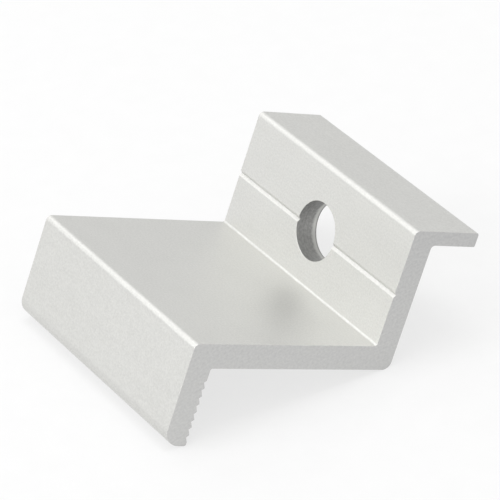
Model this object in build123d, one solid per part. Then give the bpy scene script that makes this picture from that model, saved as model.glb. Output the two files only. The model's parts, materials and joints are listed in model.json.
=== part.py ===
from build123d import *
import os
from math import asin, atan2, degrees, hypot

# Solar end clamp: a sawn length of extruded aluminium profile with one drilled bolt hole.
#
# The section is drawn in two directions of its own. U runs along the wall, from the lip towards
# the foot, and it points down at the rail once the clamp is fitted. V runs along the bolt flange,
# from the wall towards the foot. Both are zero at the sharp inner corner of wall and flange.
# The profile is pushed out along Y, and the finished clamp is laid on its side as it comes to
# rest on a table: on the corner of the lip and on the rounded heel. All sizes are millimetres.

# Overall sizes
clamp_length = 40.0
module_height = 40.0

# Lip, which reaches over the module frame
lip_thickness = 4.0
lip_reach = 12.1
lip_nose_radius = 2.7
lip_tip_radius = 0.3
lip_root_radius = 0.3
lip_shoulder_radius = 0.8

# Wall, which stands beside the module frame
wall_thickness = 3.8

# Flange, which the bolt pulls down
flange_thickness = 3.8
flange_width = 18.2
flange_root_radius = 0.35
heel_radius = 1.3

# Foot, whose edge stands on the rail
foot_thickness = 2.2
foot_reach = 8.0
foot_shoulder_radius = 0.8
foot_root_radius = 0.6
foot_outer_tip_radius = 0.4
foot_inner_tip_radius = 0.25

# Bolt hole for an M8 bolt, and the guide groove that shows where to drill it
bolt_hole_diameter = 8.8
bolt_hole_offset = 8.3
hole_rim_break = 0.1
groove_offset = 8.1
groove_width = 0.9
groove_depth = 0.35

# Serrations of the gripping face: each gap has a steep side next the wall, then a long slope
serration_start = 1.85
tooth_pitch = 1.22
tooth_depth = 0.4
tooth_crest = 0.1
steep_flank = 0.3

# Broken edge around both sawn ends
sawn_edge_break = 0.1

# Planes of the section, as U and V
flange_rail_side = flange_thickness
foot_edge = flange_rail_side + foot_reach
gripping_face = foot_edge - module_height
lip_outer_face = gripping_face - lip_thickness
wall_module_side = -wall_thickness
lip_tip = wall_module_side - lip_reach
foot_outer_face = flange_width
foot_inner_face = foot_outer_face - foot_thickness


def plain_section():
    """The profile without its serrations and groove, each corner with its own radius."""
    corners = [
        ((0, 0), flange_root_radius),
        ((0, foot_outer_face), foot_shoulder_radius),
        ((foot_edge, foot_outer_face), foot_outer_tip_radius),
        ((foot_edge, foot_inner_face), foot_inner_tip_radius),
        ((flange_rail_side, foot_inner_face), foot_root_radius),
        ((flange_rail_side, wall_module_side), heel_radius),
        ((gripping_face, wall_module_side), lip_root_radius),
        ((gripping_face, lip_tip), lip_tip_radius),
        ((lip_outer_face, lip_tip), lip_nose_radius),
        ((lip_outer_face, 0), lip_shoulder_radius),
    ]
    section = make_face(Polyline([point for point, _ in corners], close=True))
    for point, radius in corners:
        corner = section.vertices().sort_by_distance(point)[0]
        section = fillet(corner, radius)
    return section


def tooth_gaps():
    """The gaps between the teeth, repeated from the wall until the lip's tip is reached."""
    room = lip_reach - serration_start - lip_tip_radius
    gaps = []
    for number in range(int(room / tooth_pitch)):
        top = wall_module_side - serration_start - number * tooth_pitch
        valley = top - steep_flank
        bottom = top - tooth_pitch + tooth_crest
        outline = Polyline(
            (gripping_face, top),
            (gripping_face - tooth_depth, valley),
            (gripping_face, bottom),
            close=True,
        )
        gaps.append(make_face(outline))
    return gaps


def guide_groove():
    """The V groove along the flange, close to the middle line of the bolt hole."""
    outline = Polyline(
        (0, groove_offset - groove_width / 2),
        (groove_depth, groove_offset),
        (0, groove_offset + groove_width / 2),
        close=True,
    )
    return make_face(outline)


def sawn_length():
    """The plain profile at its sawn length, with the edges of both ends broken."""
    bar = extrude(Plane.XZ * plain_section(), clamp_length / 2, both=True)
    ends = bar.faces().filter_by(Axis.Y)
    return chamfer(ends.edges(), sawn_edge_break)


def serrated(bar):
    """The bar with its teeth and guide groove, which run out through both broken edges.

    They are cut after the ends are broken, because a tooth's crest is only as wide as that break.
    """
    for outline in tooth_gaps() + [guide_groove()]:
        bar -= extrude(Plane.XZ * outline, clamp_length, both=True)
    return bar


def bolt_hole():
    """The drilled hole through the flange, with a small countersink that breaks each rim."""
    radius = bolt_hole_diameter / 2
    rim_radius = radius + hole_rim_break
    half_wall = flange_thickness / 2
    half_outline = Polyline(
        (0, 0),
        (radius, 0),
        (radius, half_wall - hole_rim_break),
        (rim_radius, half_wall),
        (rim_radius, flange_thickness),
        (0, flange_thickness),
        close=True,
    )
    half_drill = revolve(Plane.XZ * make_face(half_outline), Axis.Z)
    drill = half_drill + mirror(half_drill, Plane.XY)
    return Plane((half_wall, 0, bolt_hole_offset), z_dir=(1, 0, 0)) * drill


def rest_angle():
    """The turn about Y that lays the lip's corner and the heel on one level."""
    from_tip_u = flange_rail_side - heel_radius - (gripping_face - lip_tip_radius)
    from_tip_v = wall_module_side + heel_radius - (lip_tip + lip_tip_radius)
    between_centres = hypot(from_tip_u, from_tip_v)
    slope = atan2(from_tip_v, from_tip_u)
    return degrees(slope - asin((heel_radius - lip_tip_radius) / between_centres))


def laid_down(clamp):
    """The clamp at rest, with the middle of its underside's bounding box at the origin."""
    turned = Rot(0, rest_angle(), 0) * clamp
    box = turned.bounding_box()
    return Pos(-box.center().X, -box.center().Y, -box.min.Z) * turned


end_clamp = laid_down(serrated(sawn_length()) - bolt_hole())
end_clamp.label = "end_clamp"
os.makedirs("parts", exist_ok=True)
export_step(end_clamp, "parts/end_clamp.step")
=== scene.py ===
import json
from math import cos, floor, pi, radians, sin

import bpy
from mathutils import Matrix, Vector


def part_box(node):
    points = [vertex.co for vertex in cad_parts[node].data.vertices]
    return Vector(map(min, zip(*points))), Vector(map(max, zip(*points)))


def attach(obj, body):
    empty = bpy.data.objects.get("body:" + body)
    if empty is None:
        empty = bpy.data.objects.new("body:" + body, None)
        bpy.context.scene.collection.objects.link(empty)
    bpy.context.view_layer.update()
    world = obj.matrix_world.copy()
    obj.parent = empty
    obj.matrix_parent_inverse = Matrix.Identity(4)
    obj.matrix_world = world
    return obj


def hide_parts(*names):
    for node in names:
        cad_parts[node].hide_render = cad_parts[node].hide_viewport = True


# Solar end clamp: a sawn length of satin anodised aluminium profile with one bolt hole.
#
# The section has two directions of its own. U runs along the wall, from the lip towards the foot,
# and V runs along the bolt flange, from the wall towards the foot. Both are zero at the sharp
# inner corner of wall and flange. The clamp lies on its side, on the lip's corner and the heel.

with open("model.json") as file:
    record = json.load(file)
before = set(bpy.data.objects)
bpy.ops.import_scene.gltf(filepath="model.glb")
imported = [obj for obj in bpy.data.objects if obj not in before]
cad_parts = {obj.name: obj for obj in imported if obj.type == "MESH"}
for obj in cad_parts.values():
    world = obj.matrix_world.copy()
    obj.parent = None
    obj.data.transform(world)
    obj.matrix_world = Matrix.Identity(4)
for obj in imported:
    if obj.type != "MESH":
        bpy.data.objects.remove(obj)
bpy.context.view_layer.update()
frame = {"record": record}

millimetre = 0.001

# Sizes of the section
module_height = 40.0 * millimetre
lip_thickness = 4.0 * millimetre
lip_reach = 12.1 * millimetre
lip_nose_radius = 2.7 * millimetre
lip_tip_radius = 0.3 * millimetre
lip_root_radius = 0.3 * millimetre
lip_shoulder_radius = 0.8 * millimetre
wall_thickness = 3.8 * millimetre
flange_thickness = 3.8 * millimetre
flange_width = 18.2 * millimetre
flange_root_radius = 0.35 * millimetre
heel_radius = 1.3 * millimetre
foot_thickness = 2.2 * millimetre
foot_reach = 8.0 * millimetre
foot_shoulder_radius = 0.8 * millimetre
foot_root_radius = 0.6 * millimetre
foot_outer_tip_radius = 0.4 * millimetre
foot_inner_tip_radius = 0.25 * millimetre

# Guide groove, and the bolt hole close to it with its rounded rims. The drill overshoots both faces
# of the flange a little, so that each round opens well into its face.
bolt_hole_offset = 8.3 * millimetre
hole_rim_rounding = 0.15 * millimetre
hole_overshoot = 0.03 * millimetre
groove_offset = 8.1 * millimetre
groove_width = 0.9 * millimetre
groove_depth = 0.35 * millimetre

# Serrations of the gripping face, with rounded crests and valleys. The crests are skimmed, so that
# the cutter lies flush with no face.
serration_start = 1.85 * millimetre
tooth_pitch = 1.22 * millimetre
tooth_depth = 0.4 * millimetre
tooth_crest = 0.1 * millimetre
steep_flank = 0.3 * millimetre
tooth_rounding = 0.07 * millimetre
crest_skim = 0.01 * millimetre

# Deburred edge around both sawn ends
sawn_edge_rounding = 0.04 * millimetre

# How far each cutter runs past the solid that it cuts
cut_past_solid = 1.0 * millimetre

# Corners of one gap between teeth, and the two that close the row of gaps outside the solid
gap_corners = 3
closing_corners = 2

# Steps in a quarter turn of a profile corner and of a fine rounding, and round the bolt hole
corner_steps = 12
rounding_steps = 5
hole_steps = 128

# A face is a sawn end where its normal lies along the profile by more than the first share, and
# the wall of the bore where it lies along U by less than the second one
sawn_end_facing = 0.999
bore_wall_facing = 0.5

# Faces that meet at more than this angle keep a sharp edge
sharp_edge = radians(35)

# Planes of the section, as U and V
foot_edge = flange_thickness + foot_reach
gripping_face = foot_edge - module_height
lip_outer_face = gripping_face - lip_thickness
wall_module_side = -wall_thickness
lip_tip = wall_module_side - lip_reach
foot_inner_face = flange_width - foot_thickness
first_gap = wall_module_side - serration_start
gap_count = floor((lip_reach - serration_start - lip_tip_radius) / tooth_pitch)

# The clamp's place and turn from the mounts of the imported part, and its length from its box
mounts = {mount["name"]: mount for mount in frame["record"]["mounts"]}
hole_mount = mounts["bolt_hole"]
hole_radius = hole_mount["dims"]["r_mm"] * millimetre
along_wall = -Vector(hole_mount["axis"])
along_flange = -Vector(mounts["module_side"]["axis"])
from_hole = along_wall * flange_thickness / 2 + along_flange * bolt_hole_offset
section_zero = Vector(hole_mount["pos_m"]) - from_hole
section_turn = Matrix((along_wall, along_flange, along_wall.cross(along_flange))).transposed().to_euler()
lowest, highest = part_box("end_clamp")
clamp_length = highest.y - lowest.y

# Etch grain, which is really about 0.03 mm across and is drawn coarser so that it shows, with the
# colours and the roughness of its low and high places
etch_grain = 0.3 * millimetre
etch_depth = 0.02 * millimetre
etched_dark = "c0c0bd"
etched_light = "e4e4e1"
etched_roughness = (0.42, 0.52)

# Lines that the die leaves along the profile, really a few hundredths of a millimetre across and
# drawn coarser so that they show, and the patches in which the anodised tone drifts, each with its
# share in the pattern
die_line_width = 0.4 * millimetre
die_line_length = 60.0 * millimetre
die_line_share = 0.12
tone_patch = 5.0 * millimetre
tone_patch_share = 0.1

# Saw marks on the ends: their spacing, their depth, their share in the pattern and the centre of
# the 350 mm blade. The teeth tear small patches too, and painted shade darkens the ends towards
# the foot.
saw_mark = 0.35 * millimetre
saw_mark_depth = 0.006 * millimetre
saw_mark_share = 0.2
saw_centre = (60.0 * millimetre, -140.0 * millimetre, 0.0)
torn_patch = 0.4 * millimetre
painted_end_shade = 0.2
sawn_dark = "b8b8b8"
sawn_light = "d6d6d4"
sawn_roughness = (0.54, 0.46)

# Drill marks in the bore: the feed at each turn, the marks' depth and their share in the pattern,
# how much painted shade darkens the bore on the side of the foot, and the smooth band where the
# drill came out
drill_feed = 0.25 * millimetre
drill_mark_depth = 0.01 * millimetre
drill_mark_share = 0.3
bore_painted_shade = 0.25
bore_dark = "707070"
bore_light = "c0c0bd"
bore_roughness = 0.5
burnish_start = 2.95 * millimetre
burnish_end = 3.65 * millimetre
burnished_light = "bebebb"
burnished_roughness = 0.34

# Places of a colour Mix node's two colours among its inputs
dark_end = 6
light_end = 7

# Studio, in metres: a light table under white paper, a white surround and five softboxes
floor_reach = 3.0
paper_cloud = 0.004
paper_dark = "6c6c6c"
paper_light = "727272"
paper_roughness = 0.9
light_table_glow = 0.70
surround_at_horizon = 0.69
surround_overhead = 1.16
softbox_width = 0.5
softbox_height = 0.4
softbox_distance = 1.0
light_aim = Vector((0.0, 0.0, 0.01))

# Camera, its places in metres and its lens in the millimetres of a full frame
camera_place = Vector((-0.233184, -0.364835, 0.289337))
camera_aim = Vector((0.000970, 0.000784, 0.012444))
camera_roll = radians(-0.654)
lens_length = 258.4
frame_width = 36.0
nearest_view = 0.01


def fill(tree, node, inputs):
    """Gives each named or numbered input of a node a value, or a link from a socket or a node."""
    for name, given in inputs.items():
        for item in given if isinstance(given, list) else [given]:
            if isinstance(item, bpy.types.Node):
                item = next(output for output in item.outputs if output.enabled)
            if isinstance(item, bpy.types.NodeSocket):
                tree.links.new(item, node.inputs[name])
            else:
                node.inputs[name].default_value = item


def add_node(tree, kind, settings=None, inputs=None):
    """Adds a node, sets its properties and fills its inputs."""
    node = tree.nodes.new(kind)
    for name, value in (settings or {}).items():
        setattr(node, name, value)
    fill(tree, node, inputs or {})
    return node


def linear(hex_colour):
    """The linear colour, with alpha, of an sRGB hex value such as d0d0ce."""
    shares = [int(hex_colour[i:i + 2], 16) / 255 for i in (0, 2, 4)]
    return (*[s / 12.92 if s <= 0.04045 else ((s + 0.055) / 1.055) ** 2.4 for s in shares], 1.0)


def new_tree(name, inputs):
    """A geometry tree with its named inputs, and the sockets that it reads and fills."""
    tree = bpy.data.node_groups.new(name, "GeometryNodeTree")
    for label, socket_type in inputs:
        tree.interface.new_socket(label, in_out="INPUT", socket_type=socket_type)
    tree.interface.new_socket("Geometry", in_out="OUTPUT", socket_type="NodeSocketGeometry")
    given = tree.nodes.new("NodeGroupInput").outputs
    result = tree.nodes.new("NodeGroupOutput").inputs["Geometry"]
    return tree, given, result


def rounded_stations():
    """Stations along a length whose two ends are rounded over.

    Each station keeps its inset, which is how far the round draws the outline in there.
    """
    tree, given, result = new_tree("rounded_stations", [
        ("Half length", "NodeSocketFloat"),
        ("Rounding", "NodeSocketFloat"),
        ("Steps", "NodeSocketInt"),
    ])
    index = add_node(tree, "GeometryNodeInputIndex")
    last = add_node(tree, "ShaderNodeMath", {"operation": "MULTIPLY_ADD"}, {
        0: given["Steps"],
        1: 2,
        2: 1,
    })
    from_last = add_node(tree, "ShaderNodeMath", {"operation": "SUBTRACT"}, {0: last, 1: index})
    from_end = add_node(tree, "ShaderNodeMath", {"operation": "MINIMUM"}, {0: index, 1: from_last})
    turn = add_node(tree, "ShaderNodeMapRange", inputs={
        "Value": from_end,
        "From Max": given["Steps"],
        "To Max": pi / 2,
    })
    level = add_node(tree, "ShaderNodeMath", {"operation": "COSINE"}, {0: turn})
    steepness = add_node(tree, "ShaderNodeMath", {"operation": "SINE"}, {0: turn})
    back = add_node(tree, "ShaderNodeMapRange", inputs={
        "Value": level,
        "To Min": given["Rounding"],
        "To Max": 0.0,
    })
    inset = add_node(tree, "ShaderNodeMapRange", inputs={
        "Value": steepness,
        "To Min": given["Rounding"],
        "To Max": 0.0,
    })
    reach = add_node(tree, "ShaderNodeMath", {"operation": "SUBTRACT"}, {
        0: given["Half length"],
        1: back,
    })
    past_middle = add_node(tree, "ShaderNodeMath", {"operation": "SUBTRACT"}, {0: index, 1: from_last})
    side = add_node(tree, "ShaderNodeMath", {"operation": "SIGN"}, {0: past_middle})
    height = add_node(tree, "ShaderNodeMath", {"operation": "MULTIPLY"}, {0: reach, 1: side})
    place = add_node(tree, "ShaderNodeCombineXYZ", inputs={"Z": height})
    count = add_node(tree, "ShaderNodeMath", {"operation": "ADD"}, {0: last, 1: 1})
    line = add_node(tree, "GeometryNodeMeshLine", inputs={"Count": count})
    placed = add_node(tree, "GeometryNodeSetPosition", inputs={"Geometry": line, "Position": place})
    kept = add_node(tree, "GeometryNodeStoreNamedAttribute", inputs={
        "Geometry": placed,
        "Name": "inset",
        "Value": inset,
    })
    curve = add_node(tree, "GeometryNodeMeshToCurve", inputs={"Mesh": kept})
    tree.links.new(curve.outputs[0], result)
    return tree


def profile_bar(stations):
    """The profile at its sawn length: rounded corners, pushed out between the rounded ends."""
    tree, given, result = new_tree("profile_bar", [
        ("Section corners", "NodeSocketGeometry"),
        ("Half length", "NodeSocketFloat"),
        ("End rounding", "NodeSocketFloat"),
        ("Arc steps", "NodeSocketInt"),
        ("Edge steps", "NodeSocketInt"),
    ])
    outline = add_node(tree, "GeometryNodeMeshToCurve", inputs={"Mesh": given["Section corners"]})
    radius = add_node(tree, "GeometryNodeInputNamedAttribute", inputs={"Name": "corner_radius"})
    rounded = add_node(tree, "GeometryNodeFilletCurve", {"mode": "POLY"}, {
        "Curve": outline,
        "Count": given["Arc steps"],
        "Radius": radius,
    })
    tangent = add_node(tree, "GeometryNodeInputTangent")
    inward = add_node(tree, "ShaderNodeVectorMath", {"operation": "CROSS_PRODUCT"}, {
        0: tangent,
        1: (0, 0, -1),
    })
    section = add_node(tree, "GeometryNodeStoreNamedAttribute", {"data_type": "FLOAT_VECTOR"}, {
        "Geometry": rounded,
        "Name": "inward",
        "Value": inward,
    })
    path = add_node(tree, "GeometryNodeGroup", {"node_tree": stations}, {
        "Half length": given["Half length"],
        "Rounding": given["End rounding"],
        "Steps": given["Edge steps"],
    })
    swept = add_node(tree, "GeometryNodeCurveToMesh", inputs={
        "Curve": path,
        "Profile Curve": section,
        "Fill Caps": True,
    })
    inset = add_node(tree, "GeometryNodeInputNamedAttribute", inputs={"Name": "inset"})
    way = add_node(tree, "GeometryNodeInputNamedAttribute", {"data_type": "FLOAT_VECTOR"}, {
        "Name": "inward",
    })
    inwards = add_node(tree, "ShaderNodeVectorMath", {"operation": "SCALE"}, {0: way, "Scale": inset})
    drawn_in = add_node(tree, "GeometryNodeSetPosition", inputs={"Geometry": swept, "Offset": inwards})
    tree.links.new(drawn_in.outputs[0], result)
    return tree


def gap_cutter():
    """What is taken away between the teeth: one gap's corners, repeated and pushed through."""
    tree, given, result = new_tree("gap_cutter", [
        ("Half length", "NodeSocketFloat"),
        ("First gap", "NodeSocketVector"),
        ("Valley", "NodeSocketVector"),
        ("Gap width", "NodeSocketVector"),
        ("Pitch", "NodeSocketVector"),
        ("Gap count", "NodeSocketInt"),
        ("Outer end", "NodeSocketVector"),
        ("Outer start", "NodeSocketVector"),
        ("Rounding", "NodeSocketFloat"),
        ("Rounding steps", "NodeSocketInt"),
    ])
    index = add_node(tree, "GeometryNodeInputIndex")
    tooth = add_node(tree, "FunctionNodeIntegerMath", {"operation": "DIVIDE_FLOOR"}, {
        0: index,
        1: gap_corners,
    })
    corner = add_node(tree, "FunctionNodeIntegerMath", {"operation": "MODULO"}, {
        0: index,
        1: gap_corners,
    })
    in_gap = add_node(tree, "GeometryNodeIndexSwitch", {"data_type": "VECTOR"}, {"Index": corner})
    in_gap.index_switch_items.new()
    fill(tree, in_gap, {"1": given["Valley"], "2": given["Gap width"]})
    to_gap = add_node(tree, "ShaderNodeVectorMath", {"operation": "SCALE"}, {
        0: given["Pitch"],
        "Scale": tooth,
    })
    in_row = add_node(tree, "ShaderNodeVectorMath", {"operation": "ADD"}, {0: to_gap, 1: in_gap})
    on_teeth = add_node(tree, "ShaderNodeVectorMath", {"operation": "ADD"}, {
        0: given["First gap"],
        1: in_row,
    })
    last = add_node(tree, "FunctionNodeIntegerMath", {"operation": "MULTIPLY_ADD"}, {
        0: given["Gap count"],
        1: gap_corners,
        2: -1,
    })
    past_last = add_node(tree, "FunctionNodeIntegerMath", {"operation": "SUBTRACT"}, {0: index, 1: last})
    closing = add_node(tree, "FunctionNodeIntegerMath", {"operation": "MAXIMUM"}, {0: past_last, 1: 0})
    place = add_node(tree, "GeometryNodeIndexSwitch", {"data_type": "VECTOR"}, {"Index": closing})
    place.index_switch_items.new()
    fill(tree, place, {"0": on_teeth, "1": given["Outer end"], "2": given["Outer start"]})
    count = add_node(tree, "FunctionNodeIntegerMath", {"operation": "ADD"}, {
        0: last,
        1: closing_corners + 1,
    })
    line = add_node(tree, "GeometryNodeMeshLine", inputs={"Count": count})
    placed = add_node(tree, "GeometryNodeSetPosition", inputs={"Geometry": line, "Position": place})
    outline = add_node(tree, "GeometryNodeMeshToCurve", inputs={"Mesh": placed})
    closed = add_node(tree, "GeometryNodeSetSplineCyclic", inputs={
        "Geometry": outline,
        "Cyclic": True,
    })
    # The row's two end corners and the outer pair stay sharp, and every corner between is rounded.
    middle = add_node(tree, "ShaderNodeMath", {"operation": "MULTIPLY"}, {0: last, 1: 0.5})
    to_neighbour = add_node(tree, "ShaderNodeMath", {"operation": "SUBTRACT"}, {0: middle, 1: 0.5})
    is_between = add_node(tree, "ShaderNodeMath", {"operation": "COMPARE"}, {
        0: index,
        1: middle,
        2: to_neighbour,
    })
    radius = add_node(tree, "ShaderNodeMath", {"operation": "MULTIPLY"}, {
        0: given["Rounding"],
        1: is_between,
    })
    rounded = add_node(tree, "GeometryNodeFilletCurve", {"mode": "POLY"}, {
        "Curve": closed,
        "Count": given["Rounding steps"],
        "Radius": radius,
    })
    end = add_node(tree, "ShaderNodeCombineXYZ", inputs={"Z": given["Half length"]})
    start = add_node(tree, "ShaderNodeVectorMath", {"operation": "SCALE"}, {0: end, "Scale": -1.0})
    path = add_node(tree, "GeometryNodeCurvePrimitiveLine", inputs={"Start": start, "End": end})
    cutter = add_node(tree, "GeometryNodeCurveToMesh", inputs={
        "Curve": path,
        "Profile Curve": rounded,
        "Fill Caps": True,
    })
    tree.links.new(cutter.outputs[0], result)
    return tree


def bolt_hole_cutter(stations):
    """The drill: a round bar along U that flares at both faces of the flange, for rounded rims."""
    tree, given, result = new_tree("bolt_hole_cutter", [
        ("Radius", "NodeSocketFloat"),
        ("Middle", "NodeSocketVector"),
        ("Half length", "NodeSocketFloat"),
        ("Rim rounding", "NodeSocketFloat"),
        ("Round steps", "NodeSocketInt"),
        ("Edge steps", "NodeSocketInt"),
    ])
    path = add_node(tree, "GeometryNodeGroup", {"node_tree": stations}, {
        "Half length": given["Half length"],
        "Rounding": given["Rim rounding"],
        "Steps": given["Edge steps"],
    })
    ring = add_node(tree, "GeometryNodeCurvePrimitiveCircle", inputs={
        "Resolution": given["Round steps"],
        "Radius": 1.0,
    })
    inset = add_node(tree, "GeometryNodeInputNamedAttribute", inputs={"Name": "inset"})
    radius = add_node(tree, "ShaderNodeMath", {"operation": "ADD"}, {0: given["Radius"], 1: inset})
    drill = add_node(tree, "GeometryNodeCurveToMesh", inputs={
        "Curve": path,
        "Profile Curve": ring,
        "Scale": radius,
        "Fill Caps": True,
    })
    placed = add_node(tree, "GeometryNodeTransform", inputs={
        "Geometry": drill,
        "Translation": given["Middle"],
        "Rotation": (0, pi / 2, 0),
    })
    tree.links.new(placed.outputs[0], result)
    return tree


def clamp_tree(extruded, sawn, drilled):
    """The whole clamp: the bar, less its serrations, groove and bolt hole, laid down at rest."""
    tree, given, result = new_tree("end_clamp_extrusion", [
        ("Section corners", "NodeSocketGeometry"),
        ("Half length", "NodeSocketFloat"),
        ("Past the ends", "NodeSocketFloat"),
        ("End rounding", "NodeSocketFloat"),
        ("Arc steps", "NodeSocketInt"),
        ("Edge steps", "NodeSocketInt"),
        ("First gap", "NodeSocketVector"),
        ("Gap valley", "NodeSocketVector"),
        ("Gap width", "NodeSocketVector"),
        ("Tooth pitch", "NodeSocketVector"),
        ("Gap count", "NodeSocketInt"),
        ("Outer end", "NodeSocketVector"),
        ("Outer start", "NodeSocketVector"),
        ("Tooth rounding", "NodeSocketFloat"),
        ("Groove start", "NodeSocketVector"),
        ("Groove valley", "NodeSocketVector"),
        ("Groove width", "NodeSocketVector"),
        ("Groove outer end", "NodeSocketVector"),
        ("Groove outer start", "NodeSocketVector"),
        ("Hole radius", "NodeSocketFloat"),
        ("Hole middle", "NodeSocketVector"),
        ("Hole half length", "NodeSocketFloat"),
        ("Rim rounding", "NodeSocketFloat"),
        ("Round steps", "NodeSocketInt"),
        ("Place", "NodeSocketVector"),
        ("Turn", "NodeSocketRotation"),
    ])
    stations = rounded_stations()
    bar = add_node(tree, "GeometryNodeGroup", {"node_tree": profile_bar(stations)}, {
        "Section corners": given["Section corners"],
        "Half length": given["Half length"],
        "End rounding": given["End rounding"],
        "Arc steps": given["Arc steps"],
        "Edge steps": given["Edge steps"],
    })
    gaps = gap_cutter()
    teeth = add_node(tree, "GeometryNodeGroup", {"node_tree": gaps}, {
        "Half length": given["Past the ends"],
        "First gap": given["First gap"],
        "Valley": given["Gap valley"],
        "Gap width": given["Gap width"],
        "Pitch": given["Tooth pitch"],
        "Gap count": given["Gap count"],
        "Outer end": given["Outer end"],
        "Outer start": given["Outer start"],
        "Rounding": given["Tooth rounding"],
        "Rounding steps": given["Edge steps"],
    })
    groove = add_node(tree, "GeometryNodeGroup", {"node_tree": gaps}, {
        "Half length": given["Past the ends"],
        "First gap": given["Groove start"],
        "Valley": given["Groove valley"],
        "Gap width": given["Groove width"],
        "Gap count": 1,
        "Outer end": given["Groove outer end"],
        "Outer start": given["Groove outer start"],
        "Rounding": given["Tooth rounding"],
        "Rounding steps": given["Edge steps"],
    })
    drill = add_node(tree, "GeometryNodeGroup", {"node_tree": bolt_hole_cutter(stations)}, {
        "Radius": given["Hole radius"],
        "Middle": given["Hole middle"],
        "Half length": given["Hole half length"],
        "Rim rounding": given["Rim rounding"],
        "Round steps": given["Round steps"],
        "Edge steps": given["Edge steps"],
    })
    cut = add_node(tree, "GeometryNodeMeshBoolean", {"operation": "DIFFERENCE", "solver": "EXACT"}, {
        "Mesh 1": bar,
        "Mesh 2": [teeth, groove, drill],
    })
    # The region of a face is 0 where the die pressed it, 1 on a sawn end and 2 in the bore.
    normal = add_node(tree, "GeometryNodeInputNormal")
    facing = add_node(tree, "ShaderNodeSeparateXYZ", inputs={0: normal}).outputs
    along = add_node(tree, "ShaderNodeMath", {"operation": "ABSOLUTE"}, {0: facing["Z"]})
    is_sawn = add_node(tree, "ShaderNodeMath", {"operation": "GREATER_THAN"}, {
        0: along,
        1: sawn_end_facing,
    })
    place = add_node(tree, "GeometryNodeInputPosition")
    from_hole = add_node(tree, "ShaderNodeVectorMath", {"operation": "SUBTRACT"}, {
        0: place,
        1: given["Hole middle"],
    })
    from_axis = add_node(tree, "ShaderNodeVectorMath", {"operation": "MULTIPLY"}, {
        0: from_hole,
        1: (0, 1, 1),
    })
    distance = add_node(tree, "ShaderNodeVectorMath", {"operation": "LENGTH"}, {0: from_axis})
    rim = add_node(tree, "ShaderNodeMath", {"operation": "ADD"}, {
        0: given["Hole radius"],
        1: given["Rim rounding"],
    })
    in_hole = add_node(tree, "ShaderNodeMath", {"operation": "LESS_THAN"}, {
        0: distance.outputs["Value"],
        1: rim,
    })
    along_wall = add_node(tree, "ShaderNodeMath", {"operation": "ABSOLUTE"}, {0: facing["X"]})
    is_steep = add_node(tree, "ShaderNodeMath", {"operation": "LESS_THAN"}, {
        0: along_wall,
        1: bore_wall_facing,
    })
    is_bore = add_node(tree, "ShaderNodeMath", {"operation": "MULTIPLY"}, {0: in_hole, 1: is_steep})
    region = add_node(tree, "ShaderNodeMix", inputs={"Factor": is_bore, "A": is_sawn, "B": 2.0})
    marked = add_node(tree, "GeometryNodeStoreNamedAttribute", {"domain": "FACE"}, {
        "Geometry": cut.outputs["Mesh"],
        "Name": "region",
        "Value": region,
    })
    laid = add_node(tree, "GeometryNodeTransform", inputs={
        "Geometry": marked,
        "Translation": given["Place"],
        "Rotation": given["Turn"],
    })
    smooth = add_node(tree, "GeometryNodeSetShadeSmooth", inputs={"Geometry": laid})
    mesh = add_node(tree, "GeometryNodeRealizeInstances", inputs={"Geometry": smooth})
    kept_region = add_node(tree, "GeometryNodeInputNamedAttribute", inputs={"Name": "region"})
    for number, finish in enumerate((extruded, sawn, drilled)):
        chosen = add_node(tree, "ShaderNodeMath", {"operation": "COMPARE"}, {0: kept_region, 1: number})
        mesh = add_node(tree, "GeometryNodeSetMaterial", inputs={
            "Geometry": mesh,
            "Selection": chosen,
            "Material": finish,
        })
    tree.links.new(mesh.outputs[0], result)
    return tree


def section_corners():
    """The corners of the profile with their radii, going round so that the outside is outside."""
    corners = [
        ((lip_outer_face, 0), lip_shoulder_radius),
        ((lip_outer_face, lip_tip), lip_nose_radius),
        ((gripping_face, lip_tip), lip_tip_radius),
        ((gripping_face, wall_module_side), lip_root_radius),
        ((flange_thickness, wall_module_side), heel_radius),
        ((flange_thickness, foot_inner_face), foot_root_radius),
        ((foot_edge, foot_inner_face), foot_inner_tip_radius),
        ((foot_edge, flange_width), foot_outer_tip_radius),
        ((0, flange_width), foot_shoulder_radius),
        ((0, 0), flange_root_radius),
    ]
    mesh = bpy.data.meshes.new("section_corners")
    points = [(u, v, 0) for (u, v), _ in corners]
    loop = [(number, (number + 1) % len(points)) for number in range(len(points))]
    mesh.from_pydata(points, loop, [])
    radii = mesh.attributes.new("corner_radius", "FLOAT", "POINT")
    radii.data.foreach_set("value", [radius for _, radius in corners])
    return mesh


def plain_mesh(piece):
    """The piece's mesh as its modifiers leave it."""
    graph = bpy.context.evaluated_depsgraph_get()
    return bpy.data.meshes.new_from_object(piece.evaluated_get(graph), depsgraph=graph)


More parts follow.
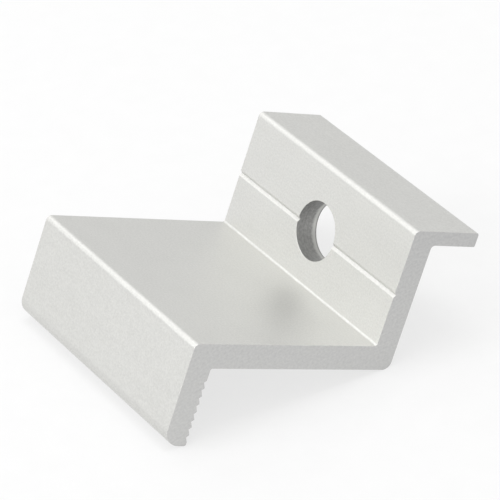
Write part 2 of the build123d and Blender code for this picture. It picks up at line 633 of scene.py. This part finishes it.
def make_clamp(extruded, sawn, drilled):
    """Makes the clamp's one piece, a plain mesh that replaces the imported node."""
    piece = bpy.data.objects.new("extruded_end_clamp", section_corners())
    bpy.context.scene.collection.objects.link(piece)
    tree = clamp_tree(extruded, sawn, drilled)
    crest_plane = gripping_face - crest_skim
    last_gap_end = first_gap - gap_count * tooth_pitch + tooth_crest
    groove_high = groove_offset + groove_width / 2
    groove_low = groove_offset - groove_width / 2
    sizes = {
        "Half length": clamp_length / 2,
        "Past the ends": clamp_length / 2 + cut_past_solid,
        "End rounding": sawn_edge_rounding,
        "Arc steps": corner_steps,
        "Edge steps": rounding_steps,
        "First gap": (crest_plane, first_gap, 0),
        "Gap valley": (-tooth_depth, -steep_flank, 0),
        "Gap width": (0, tooth_crest - tooth_pitch, 0),
        "Tooth pitch": (0, -tooth_pitch, 0),
        "Gap count": gap_count,
        "Outer end": (crest_plane + cut_past_solid, last_gap_end, 0),
        "Outer start": (crest_plane + cut_past_solid, first_gap, 0),
        "Tooth rounding": tooth_rounding,
        "Groove start": (0, groove_low, 0),
        "Groove valley": (groove_depth, groove_width / 2, 0),
        "Groove width": (0, groove_width, 0),
        "Groove outer end": (-cut_past_solid, groove_high, 0),
        "Groove outer start": (-cut_past_solid, groove_low, 0),
        "Hole radius": hole_radius,
        "Hole middle": (flange_thickness / 2, bolt_hole_offset, 0),
        "Hole half length": flange_thickness / 2 + hole_overshoot,
        "Rim rounding": hole_rim_rounding,
        "Round steps": hole_steps,
        "Place": section_zero,
        "Turn": section_turn,
    }
    modifier = piece.modifiers.new("extrusion", "NODES")
    modifier.node_group = tree
    for socket in tree.interface.items_tree:
        if socket.name in sizes:
            modifier[socket.identifier] = sizes[socket.name]
    piece.data = plain_mesh(piece)
    piece.modifiers.clear()
    piece.data.set_sharp_from_angle(angle=sharp_edge)
    weighted = piece.modifiers.new("flat_faces", "WEIGHTED_NORMAL")
    weighted.keep_sharp = True
    piece.data = plain_mesh(piece)
    piece.modifiers.clear()
    # The first Set Material leaves an empty slot in front of its own.
    if piece.data.materials[0] is None:
        piece.data.materials.pop(index=0)
    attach(piece, "root")
    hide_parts("end_clamp")


def new_finish(name):
    """A material, its tree and shader, and the place on the clamp as U, V and along the profile."""
    finish = bpy.data.materials.new(name)
    finish.use_nodes = True
    tree = finish.node_tree
    shader = tree.nodes["Principled BSDF"]
    place = add_node(tree, "ShaderNodeTexCoord").outputs["Object"]
    section = add_node(tree, "ShaderNodeMapping", {"vector_type": "TEXTURE"}, {
        "Vector": place,
        "Location": section_zero,
        "Rotation": section_turn,
    })
    return finish, tree, shader, section


def extruded_aluminium():
    """Aluminium pressed through a die, satin etched in caustic soda and clear anodised.

    The etch pits spread every reflection, so the faces look silky and pale. Faint lines from the
    die run along the profile, and the tone drifts a little from place to place.
    """
    finish, tree, shader, section = new_finish("extruded_anodised_aluminium")
    grain = add_node(tree, "ShaderNodeTexNoise", inputs={
        "Vector": section,
        "Scale": 1 / etch_grain,
        "Detail": 2.0,
        "Roughness": 0.6,
    })
    drawn_out = add_node(tree, "ShaderNodeVectorMath", {"operation": "MULTIPLY"}, {
        0: section,
        1: (1 / die_line_width, 1 / die_line_width, 1 / die_line_length),
    })
    lines = add_node(tree, "ShaderNodeTexNoise", inputs={
        "Vector": drawn_out,
        "Scale": 1.0,
        "Detail": 1.0,
    })
    drift = add_node(tree, "ShaderNodeTexNoise", inputs={
        "Vector": section,
        "Scale": 1 / tone_patch,
        "Detail": 1.0,
    })
    relief = add_node(tree, "ShaderNodeMix", inputs={
        "Factor": die_line_share,
        "A": grain,
        "B": lines,
    })
    tone = add_node(tree, "ShaderNodeMix", inputs={
        "Factor": tone_patch_share,
        "A": relief,
        "B": drift,
    })
    colour = add_node(tree, "ShaderNodeMix", {"data_type": "RGBA"}, {
        "Factor": tone,
        dark_end: linear(etched_dark),
        light_end: linear(etched_light),
    })
    roughness = add_node(tree, "ShaderNodeMapRange", inputs={
        "Value": relief,
        "To Min": etched_roughness[0],
        "To Max": etched_roughness[1],
    })
    pits = add_node(tree, "ShaderNodeBump", inputs={"Height": relief, "Distance": etch_depth})
    fill(tree, shader, {
        "Base Color": colour,
        "Metallic": 1.0,
        "Roughness": roughness,
        "Normal": pits,
    })
    return finish


def sawn_aluminium():
    """The two ends, cut across by a circular saw and anodised with the rest.

    The blade's teeth leave faint arcs round its far centre and small torn patches. They make the
    ends a shade duller and darker than the pressed faces. Painted shade darkens the ends further
    towards the foot.
    """
    finish, tree, shader, section = new_finish("sawn_anodised_aluminium")
    from_centre = add_node(tree, "ShaderNodeVectorMath", {"operation": "DISTANCE"}, {
        0: section,
        1: saw_centre,
    })
    arcs = add_node(tree, "ShaderNodeTexNoise", {"noise_dimensions": "1D"}, {
        "W": from_centre.outputs["Value"],
        "Scale": 1 / saw_mark,
        "Detail": 1.0,
    })
    torn = add_node(tree, "ShaderNodeTexNoise", inputs={
        "Vector": section,
        "Scale": 1 / torn_patch,
        "Detail": 2.0,
    })
    relief = add_node(tree, "ShaderNodeMix", inputs={
        "Factor": saw_mark_share,
        "A": torn,
        "B": arcs,
    })
    across = add_node(tree, "ShaderNodeSeparateXYZ", inputs={0: section}).outputs["Y"]
    # Painted shade: the end's colour grows darker towards the foot.
    drift = add_node(tree, "ShaderNodeMapRange", inputs={
        "Value": across,
        "From Min": lip_tip,
        "From Max": flange_width,
        "To Min": painted_end_shade,
        "To Max": -painted_end_shade,
    })
    tone = add_node(tree, "ShaderNodeMath", {"operation": "ADD"}, {0: relief, 1: drift})
    colour = add_node(tree, "ShaderNodeMix", {"data_type": "RGBA"}, {
        "Factor": tone,
        dark_end: linear(sawn_dark),
        light_end: linear(sawn_light),
    })
    roughness = add_node(tree, "ShaderNodeMapRange", inputs={
        "Value": relief,
        "To Min": sawn_roughness[0],
        "To Max": sawn_roughness[1],
    })
    scores = add_node(tree, "ShaderNodeBump", inputs={"Height": relief, "Distance": saw_mark_depth})
    fill(tree, shader, {
        "Base Color": colour,
        "Metallic": 1.0,
        "Roughness": roughness,
        "Normal": scores,
    })
    return finish


def drilled_aluminium():
    """The bore, made by a twist drill in the anodised flange.

    The chips tear the wall of the bore, so most of it is dark and mottled with rings at the drill's
    feed. Painted shade darkens it further on the side towards the foot. Where the drill broke
    through, its edge rubbed a smooth, lighter band.
    """
    finish, tree, shader, section = new_finish("drilled_aluminium")
    place = add_node(tree, "ShaderNodeSeparateXYZ", inputs={0: section}).outputs
    rings = add_node(tree, "ShaderNodeTexNoise", {"noise_dimensions": "1D"}, {
        "W": place["X"],
        "Scale": 1 / drill_feed,
        "Detail": 1.0,
    })
    torn = add_node(tree, "ShaderNodeTexNoise", inputs={
        "Vector": section,
        "Scale": 1 / torn_patch,
        "Detail": 3.0,
        "Roughness": 0.6,
    })
    relief = add_node(tree, "ShaderNodeMix", inputs={
        "Factor": drill_mark_share,
        "A": torn,
        "B": rings,
    })
    # Painted shade: the bore's colour grows darker towards the side of the foot.
    painted_upper_shade = add_node(tree, "ShaderNodeMapRange", inputs={
        "Value": place["Y"],
        "From Min": bolt_hole_offset - hole_radius / 2,
        "From Max": bolt_hole_offset + hole_radius,
        "To Min": 0.0,
        "To Max": -bore_painted_shade,
    })
    tone = add_node(tree, "ShaderNodeMath", {"operation": "ADD"}, {0: relief, 1: painted_upper_shade})
    torn_colour = add_node(tree, "ShaderNodeMix", {"data_type": "RGBA"}, {
        "Factor": tone,
        dark_end: linear(bore_dark),
        light_end: linear(bore_light),
    })
    ragged = add_node(tree, "ShaderNodeMath", {"operation": "MULTIPLY_ADD"}, {
        0: torn,
        1: torn_patch,
        2: place["X"],
    })
    rubbed = add_node(tree, "ShaderNodeMapRange", inputs={
        "Value": ragged,
        "From Min": burnish_start,
        "From Max": burnish_start + torn_patch,
    })
    not_exit = add_node(tree, "ShaderNodeMapRange", inputs={
        "Value": place["X"],
        "From Min": burnish_end - torn_patch / 2,
        "From Max": burnish_end,
        "To Min": 1.0,
        "To Max": 0.0,
    })
    burnished = add_node(tree, "ShaderNodeMath", {"operation": "MULTIPLY"}, {0: rubbed, 1: not_exit})
    colour = add_node(tree, "ShaderNodeMix", {"data_type": "RGBA"}, {
        "Factor": burnished,
        dark_end: torn_colour,
        light_end: linear(burnished_light),
    })
    roughness = add_node(tree, "ShaderNodeMapRange", inputs={
        "Value": burnished,
        "To Min": bore_roughness,
        "To Max": burnished_roughness,
    })
    scores = add_node(tree, "ShaderNodeBump", inputs={"Height": relief, "Distance": drill_mark_depth})
    fill(tree, shader, {
        "Base Color": colour,
        "Metallic": 1.0,
        "Roughness": roughness,
        "Normal": scores,
    })
    return finish


def studio_paper():
    """White seamless paper on a light table, matt, with a faint cloudiness from its fibres."""
    finish = bpy.data.materials.new("white_studio_paper")
    finish.use_nodes = True
    tree = finish.node_tree
    place = add_node(tree, "ShaderNodeTexCoord").outputs["Object"]
    fibres = add_node(tree, "ShaderNodeTexNoise", inputs={
        "Vector": place,
        "Scale": 1 / paper_cloud,
        "Detail": 3.0,
    })
    colour = add_node(tree, "ShaderNodeMix", {"data_type": "RGBA"}, {
        "Factor": fibres,
        dark_end: linear(paper_dark),
        light_end: linear(paper_light),
    })
    fill(tree, tree.nodes["Principled BSDF"], {
        "Base Color": colour,
        "Roughness": paper_roughness,
        "Emission Color": linear("ffffff"),
        "Emission Strength": light_table_glow,
    })
    return finish


def make_stage():
    """A pale studio floor under a white surround that brightens upwards."""
    mesh = bpy.data.meshes.new("studio_floor")
    low, high = -floor_reach, floor_reach
    corners = [(low, low, 0), (high, low, 0), (high, high, 0), (low, high, 0)]
    mesh.from_pydata(corners, [], [(0, 1, 2, 3)])
    mesh.materials.append(studio_paper())
    floor_sheet = bpy.data.objects.new("studio_floor", mesh)
    bpy.context.scene.collection.objects.link(floor_sheet)
    world = bpy.data.worlds.new("white_studio")
    world.use_nodes = True
    sky = world.node_tree
    way = add_node(sky, "ShaderNodeTexCoord").outputs["Generated"]
    height = add_node(sky, "ShaderNodeSeparateXYZ", inputs={0: way}).outputs["Z"]
    brightness = add_node(sky, "ShaderNodeMapRange", inputs={
        "Value": height,
        "To Min": surround_at_horizon,
        "To Max": surround_overhead,
    })
    fill(sky, sky.nodes["Background"], {"Color": linear("ffffff"), "Strength": brightness})
    bpy.context.scene.world = world
    bpy.context.scene.view_settings.view_transform = "Standard"


def softbox(name, way, elevation, radiance):
    """A studio softbox of even radiance, a metre from the clamp and turned to it.

    Its way is the compass angle from +X towards +Y, and its elevation the angle above the floor.
    """
    light = bpy.data.lights.new(name, "AREA")
    light.shape = "RECTANGLE"
    light.size = softbox_width
    light.size_y = softbox_height
    light.energy = radiance * pi * softbox_width * softbox_height
    level = cos(radians(elevation))
    place = Vector((level * cos(radians(way)), level * sin(radians(way)), sin(radians(elevation))))
    lamp = bpy.data.objects.new(name, light)
    lamp.location = place * softbox_distance + light_aim
    lamp.rotation_euler = (-place).to_track_quat("-Z", "Y").to_euler()
    bpy.context.scene.collection.objects.link(lamp)


def make_camera():
    """The camera at the photograph's viewing angle, looking down a little, with a long lens."""
    lens = bpy.data.cameras.new("camera")
    lens.lens = lens_length
    lens.sensor_width = frame_width
    lens.clip_start = nearest_view
    camera = bpy.data.objects.new("camera", lens)
    turn = (camera_aim - camera_place).to_track_quat("-Z", "Y").to_matrix().to_4x4()
    roll = Matrix.Rotation(camera_roll, 4, "Z")
    camera.matrix_world = Matrix.Translation(camera_place) @ turn @ roll
    bpy.context.scene.collection.objects.link(camera)
    bpy.context.scene.camera = camera


make_clamp(extruded_aluminium(), sawn_aluminium(), drilled_aluminium())
make_stage()
softbox("softbox_left", way=167, elevation=32, radiance=6.4)
softbox("softbox_front_left", way=200, elevation=22, radiance=1.2)
softbox("softbox_high_left", way=180, elevation=55, radiance=0.9)
softbox("softbox_back", way=98, elevation=38, radiance=0.9)
softbox("softbox_overhead", way=0, elevation=88, radiance=5.2)
make_camera()
